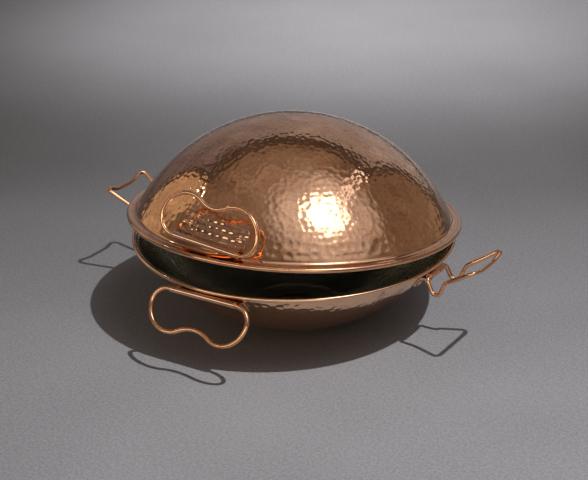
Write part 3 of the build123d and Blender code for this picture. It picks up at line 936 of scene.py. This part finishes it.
def make_latch(side, seed, matrix):
    point = joint_point(side + "_latch_swing")
    axis = (abs(point.x), point.z)
    far_z, rivet_z = LATCH_PLATE_Z
    spots = [(-LATCH_RIVET_X, rivet_z), (LATCH_RIVET_X, rivet_z)]
    place = matrix @ Matrix.Translation((0, -axis[0], axis[1]))
    name = side + "_latch"
    plate, rivets, wire = (name + end for end in ("_plate", "_rivets", "_wire"))
    make_plate(name + "_fitting", plate, "bowl", BOWL_WALL, axis, LATCH_HALF, far_z, seed, matrix)
    make_rivets(name + "_rivet_pair", rivets, "bowl", BOWL_WALL, spots, seed + 1, matrix)
    make_wire(name + "_loop", wire, name, latch_path(), LATCH_HALF, seed + 2, place)


def make_hinge(shut_to_rest):
    point = joint_point("lid_hinge")
    axis = (point.y, point.z)
    back = turned(180)
    lid_back = shut_to_rest @ back
    inner = KNUCKLE_HALF + KNUCKLE_GAP
    outer = [(-HINGE_HALF, -inner), (inner, HINGE_HALF)]
    middle = [(-KNUCKLE_HALF, KNUCKLE_HALF)]
    low_z, low_rivet_z = HINGE_LOWER_Z
    high_z, high_rivet_z = HINGE_UPPER_Z
    low = [(-HINGE_RIVET_X, low_rivet_z), (HINGE_RIVET_X, low_rivet_z)]
    high = [(-HINGE_RIVET_X, high_rivet_z), (HINGE_RIVET_X, high_rivet_z)]
    make_leaf("hinge_leaf_bowl", "hinge_lower_leaf", "bowl", BOWL_WALL, axis, low_z, outer, 81, back)
    make_leaf("hinge_leaf_lid", "hinge_upper_leaf", "lid", DOME_WALL, axis, high_z, middle, 82, lid_back)
    make_rivets("hinge_rivets_bowl", "hinge_lower_rivets", "bowl", BOWL_WALL, low, 61, back)
    make_rivets("hinge_rivets_lid", "hinge_upper_rivets", "lid", DOME_WALL, high, 96, lid_back)
    points, faces = pin_parts(HINGE_HALF + KNUCKLE_GAP)
    points = points + np.array(point)
    add_piece("hinge_pin_peened", points, faces, "bowl", ["hinge_pin"], [rivet_copper])


# ---------------------------------------------------------------- stage

def direction(azimuth, elevation):
    """Unit vector. Azimuth 0 is the front (-Y) and 90 the right (+X)."""
    a, e = math.radians(azimuth), math.radians(elevation)
    return Vector((math.sin(a) * math.cos(e), -math.cos(a) * math.cos(e), math.sin(e)))


def make_floor():
    half = 8.0
    z = cad_box[0].z - 0.0002
    corners = [(-half, -half, z), (half, -half, z), (half, half, z), (-half, half, z)]
    mesh = bpy.data.meshes.new("table")
    mesh.from_pydata(corners, [], [(0, 1, 2, 3)])
    mesh.materials.append(grey_table())
    table = bpy.data.objects.new("table", mesh)
    bpy.context.scene.collection.objects.link(table)


def window(t, view, azimuth, elevation, half_width, half_height, edge):
    """1 inside a rectangle of the sky seen from the pan, with soft edges."""
    middle = direction(azimuth, elevation)
    side = Vector((-middle.y, middle.x, 0)).normalized()
    up = middle.cross(side)
    parts = []
    for axis, half in ((side, half_width), (up, half_height)):
        limit = math.sin(math.radians(half))
        parts.append(t.spread(t.math("ABSOLUTE", t.dot(view, axis)), limit, limit + edge, 1.0, 0.0))
    ahead = t.math("GREATER_THAN", t.dot(view, middle), 0.0)
    return t.math("MULTIPLY", t.math("MULTIPLY", parts[0], parts[1]), ahead)


def band(t, view, normal, offset, half):
    """1 along a narrow circle round the sky, given by its axis and its offset along that axis."""
    off = t.math("ABSOLUTE", t.math("SUBTRACT", t.dot(view, Vector(normal)), offset))
    return t.spread(off, half, half * 1.8, 1.0, 0.0)


def glow(t, view, azimuth, elevation, inner, outer):
    """1 within an angle of a point of the sky, falling to 0 at a wider angle."""
    ahead = t.dot(view, direction(azimuth, elevation))
    return t.spread(ahead, math.cos(math.radians(outer)), math.cos(math.radians(inner)))


def make_world():
    """A warm dim studio, a grey backdrop behind the pan with a dark gap round it, and lamps."""
    world = bpy.data.worlds.new("studio")
    bpy.context.scene.world = world
    t = Tree(world)
    view = t.add("TexCoord").outputs["Generated"]
    height = t.add("SeparateXYZ", None, Vector=view).outputs["Z"]
    colour = t.mix(t.spread(height, 0.80, 0.99), (0.205, 0.157, 0.122), (0.32, 0.27, 0.23))
    # dark at the front, with a long strip light low over it
    front = t.math("MULTIPLY", glow(t, view, 10, 0, 70, 90), t.spread(height, 0.45, 0.62, 1.0, 0.0))
    colour = t.mix(front, colour, (0.10, 0.077, 0.06))
    colour = t.mix(window(t, view, 8, 19, 42, 7, 0.05), colour, (2.1, 1.75, 1.3))
    # the large soft lamp on the right and its bright middle
    colour = t.mix(glow(t, view, 78, 60, 4, 38), colour, (0.86, 0.85, 0.88))
    colour = t.mix(glow(t, view, 83, 63, 3, 15), colour, (6.0, 6.0, 6.1))
    # a streak of light that runs up the dome from the highlight
    ring = band(t, view, (0.898, 0.439, 0.027), 0.521, 0.02)
    streak = t.math("MULTIPLY", ring, glow(t, view, 138, 52, 22, 34))
    colour = t.mix(streak, colour, (1.3, 1.27, 1.3))
    # warm walls at the left and at the back right
    colour = t.mix(window(t, view, -100, 14, 18, 26, 0.03), colour, (0.52, 0.41, 0.29))
    colour = t.mix(window(t, view, 163, -2, 9, 9, 0.03), colour, (0.27, 0.21, 0.155))
    # the backdrop in its dark frame
    colour = t.mix(window(t, view, -148, 16, 38, 36, 0.012), colour, (0.078, 0.064, 0.054))
    across = glow(t, view, -180, 20, 5, 58)
    backdrop = t.mix(across, (0.17, 0.155, 0.175), (0.37, 0.365, 0.39))
    colour = t.mix(window(t, view, -148, 14, 34, 28, 0.012), colour, backdrop)
    # uneven tones all over, and a small lamp at the left
    clutter = t.spread(t.noise(view, 7.0, 3.0), 0.3, 0.7, 0.7, 1.3)
    uneven = t.add("CombineColor", None, Red=clutter, Green=clutter, Blue=clutter).outputs[0]
    colour = t.mix(1.0, colour, uneven, "MULTIPLY")
    colour = t.mix(glow(t, view, -86, 38, 0.7, 1.5), colour, (14.0, 13.0, 12.0))
    t.feed(t.shader.inputs["Color"], colour)
    t.feed(t.shader.inputs["Strength"], 0.88)


def make_key_light():
    """One small strong lamp high on the right, which draws the wires' shadows on the table."""
    towards = direction(82, 65.3)
    lamp = bpy.data.lights.new("key", "SPOT")
    lamp.energy = 620.0
    lamp.color = (1.0, 0.99, 0.98)
    lamp.shadow_soft_size = 0.024
    lamp.spot_size = math.radians(40)
    lamp.spot_blend = 1.0
    key = bpy.data.objects.new("key", lamp)
    key.location = Vector((0, 0, 0.08)) + towards * 2.8
    aim = Vector((0.36, -0.3, 0.0))
    key.rotation_euler = (key.location - aim).to_track_quat("Z", "Y").to_euler()
    key.visible_glossy = False      # the white glow of the world is what the copper mirrors
    bpy.context.scene.collection.objects.link(key)


def make_backdrop_light():
    """A soft pool of light on the table far behind the pan."""
    lamp = bpy.data.lights.new("pool", "SPOT")
    lamp.energy = 400.0
    lamp.spot_size = math.radians(36)
    lamp.spot_blend = 1.0
    lamp.shadow_soft_size = 0.2
    pool = bpy.data.objects.new("pool", lamp)
    pool.location = (-0.42, 0.9, 2.0)
    bpy.context.scene.collection.objects.link(pool)


def make_camera():
    """The photograph's view: from the front right, looking down on the pan."""
    right = Vector((0.8509, 0.5253, -0.0125))
    up = Vector((-0.2002, 0.3461, 0.9166))
    back = right.cross(up).normalized()
    turn_in = Matrix((right, back.cross(right), back)).transposed().to_4x4()
    data = bpy.data.cameras.new("camera")
    data.lens = 97.96
    data.sensor_width = 36.0
    camera = bpy.data.objects.new("camera", data)
    camera.matrix_world = Matrix.Translation((0.7226, -1.1567, 0.6625)) @ turn_in
    bpy.context.scene.collection.objects.link(camera)
    bpy.context.scene.camera = camera


make_pan()
make_floor()
make_world()
make_key_light()
make_backdrop_light()
make_camera()
bpy.context.scene.view_settings.view_transform = "Standard"
